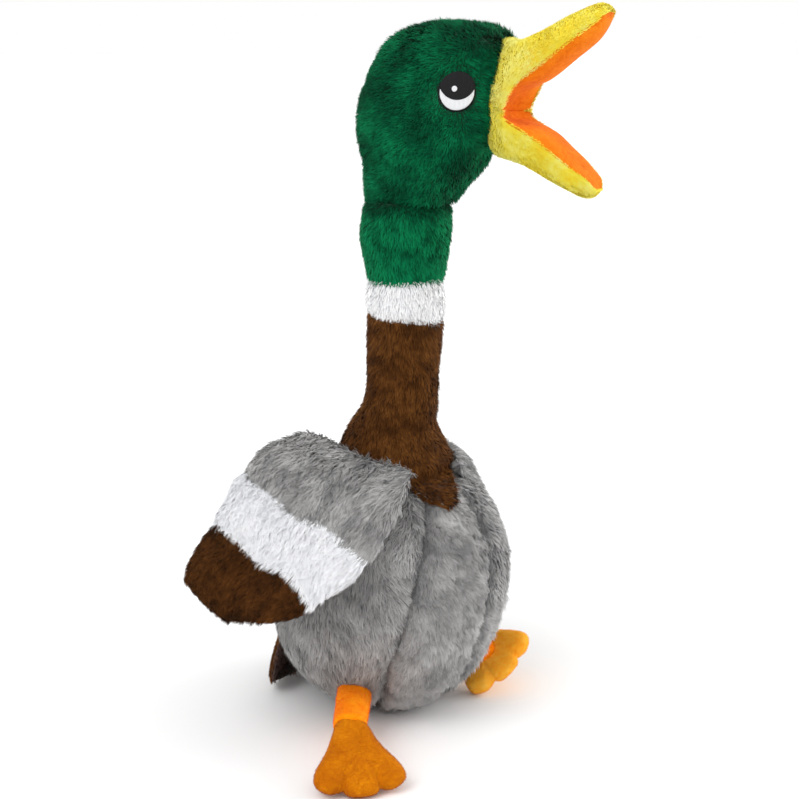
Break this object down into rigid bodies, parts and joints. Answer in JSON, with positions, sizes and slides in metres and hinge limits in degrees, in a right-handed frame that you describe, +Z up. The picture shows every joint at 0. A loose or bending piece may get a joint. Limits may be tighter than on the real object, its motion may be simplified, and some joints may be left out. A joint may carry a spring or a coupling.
{
  "type": "plush duck dog toy",
  "caption": "Stuffed plush mallard with a long bending neck, open padded bill, limp lined wings, webbed feet and squeakers inside.",
  "frame": {"origin": "the middle of the flat seat that the body rests on, on the floor", "axes": "+Z up; the body faces -Y; the duck's right side is -X; millimetres in the source, metres here"},
  "size_m": [0.2364, 0.2504, 0.4575],
  "materials": {
    "grey_plush": "long-pile grey plush",
    "brown_plush": "long-pile brown plush",
    "white_plush": "long-pile white plush",
    "green_plush": "long-pile deep green plush",
    "yellow_plush": "short-pile yellow plush",
    "orange_plush": "short-pile orange plush",
    "foot_plush": "short-pile orange plush",
    "lining_cloth": "dark brown short plush",
    "polyester_fill": "polyester fibre filling",
    "thread_black": "satin-stitch embroidery thread",
    "thread_white": "satin-stitch embroidery thread",
    "squeaker_plastic": "thin blown polythene",
    "reed_plastic": "moulded plastic"
  },
  "bodies": {
    "body": {"belly_panel": "grey_plush", "body_side_right": "grey_plush", "body_side_left": "grey_plush", "body_stuffing_right": "polyester_fill", "body_stuffing_left": "polyester_fill", "honker_bulb": "squeaker_plastic", "honker_reed_cup": "reed_plastic", "neck_base": "brown_plush", "neck_base_stuffing": "polyester_fill"},
    "neck_lower": {"neck_brown": "brown_plush", "neck_lower_stuffing": "polyester_fill"},
    "neck_upper": {"collar_white": "white_plush", "neck_green": "green_plush", "neck_upper_stuffing": "polyester_fill"},
    "head": {"head_cheek_right": "green_plush", "head_cheek_left": "green_plush", "head_stuffing_right": "polyester_fill", "head_stuffing_left": "polyester_fill", "squeaker_bulb": "squeaker_plastic", "squeaker_reed_cup": "reed_plastic", "eye_white_right": "thread_white", "eye_white_left": "thread_white", "eye_pupil_right": "thread_black", "eye_pupil_left": "thread_black", "eye_glint_right": "thread_white", "eye_glint_left": "thread_white", "bill_root_upper": "yellow_plush", "bill_root_lower": "yellow_plush", "mouth_throat": "orange_plush"},
    "upper_bill": {"upper_bill_cover": "yellow_plush", "upper_bill_lining": "orange_plush", "upper_bill_stuffing": "polyester_fill"},
    "lower_bill": {"lower_bill_cover": "yellow_plush", "lower_bill_lining": "orange_plush", "lower_bill_stuffing": "polyester_fill"},
    "wing_right": {"wing_right_covert": "grey_plush", "wing_right_bar": "white_plush", "wing_right_tip": "brown_plush", "wing_right_lining": "grey_plush"},
    "wing_left": {"wing_left_covert": "grey_plush", "wing_left_bar": "white_plush", "wing_left_tip": "brown_plush", "wing_left_lining": "grey_plush"},
    "tail": {"tail_cover": "brown_plush", "tail_lining": "lining_cloth"},
    "leg_right": {"leg_right": "foot_plush"},
    "leg_left": {"leg_left": "foot_plush"},
    "foot_right": {"foot_right_top": "foot_plush", "foot_right_sole": "foot_plush", "foot_right_stuffing": "polyester_fill"},
    "foot_left": {"foot_left_top": "foot_plush", "foot_left_sole": "foot_plush", "foot_left_stuffing": "polyester_fill"}
  },
  "joints": [
    {"name": "neck_bend", "type": "hinge", "parent": "body", "child": "neck_lower", "pos_m": [0, -0.015, 0.232], "axis": [1, 0, 0], "range_deg": [-35, 35], "stiffness_Nm_per_rad": 0.8},
    {"name": "neck_lean", "type": "hinge", "parent": "neck_lower", "child": "neck_upper", "pos_m": [0, -0.015, 0.272], "axis": [0, 1, 0], "range_deg": [-35, 35], "stiffness_Nm_per_rad": 0.7},
    {"name": "head_nod", "type": "hinge", "parent": "neck_upper", "child": "head", "pos_m": [0, -0.015, 0.347], "axis": [0.9135, 0.4067, 0], "range_deg": [-28, 22], "stiffness_Nm_per_rad": 0.6},
    {"name": "upper_bill_press", "type": "hinge", "parent": "head", "child": "upper_bill", "pos_m": [0.02685, -0.07529, 0.4183], "axis": [0.9135, 0.4067, 0], "range_deg": [0, 31], "stiffness_Nm_per_rad": 0.12},
    {"name": "lower_bill_press", "type": "hinge", "parent": "head", "child": "lower_bill", "pos_m": [0.02685, -0.07529, 0.3857], "axis": [0.9135, 0.4067, 0], "range_deg": [-32, 0], "stiffness_Nm_per_rad": 0.12},
    {"name": "wing_right_lift", "type": "hinge", "parent": "body", "child": "wing_right", "pos_m": [-0.04, 0, 0.17], "axis": [0, 1, 0], "range_deg": [0, 60]},
    {"name": "wing_left_lift", "type": "hinge", "parent": "body", "child": "wing_left", "pos_m": [0.04, 0, 0.17], "axis": [0, -1, 0], "range_deg": [0, 60]},
    {"name": "tail_lift", "type": "hinge", "parent": "body", "child": "tail", "pos_m": [0, 0.078, 0.05], "axis": [1, 0, 0], "range_deg": [0, 50]},
    {"name": "leg_right_swing", "type": "hinge", "parent": "body", "child": "leg_right", "pos_m": [-0.05, -0.037, 0.027], "axis": [0, 0, 1], "range_deg": [-25, 25], "stiffness_Nm_per_rad": 0.05},
    {"name": "leg_left_swing", "type": "hinge", "parent": "body", "child": "leg_left", "pos_m": [0.057, -0.032, 0.027], "axis": [0, 0, 1], "range_deg": [-50, 0], "stiffness_Nm_per_rad": 0.05},
    {"name": "foot_right_flap", "type": "hinge", "parent": "leg_right", "child": "foot_right", "pos_m": [-0.081, -0.074, 0.027], "axis": [0.9063, -0.4226, 0], "range_deg": [-20, 0], "stiffness_Nm_per_rad": 0.03},
    {"name": "foot_left_turn", "type": "hinge", "parent": "leg_left", "child": "foot_left", "pos_m": [0.071, 0.012, 0.029], "axis": [0, 0, 1], "range_deg": [0, 40], "stiffness_Nm_per_rad": 0.03}
  ]
}
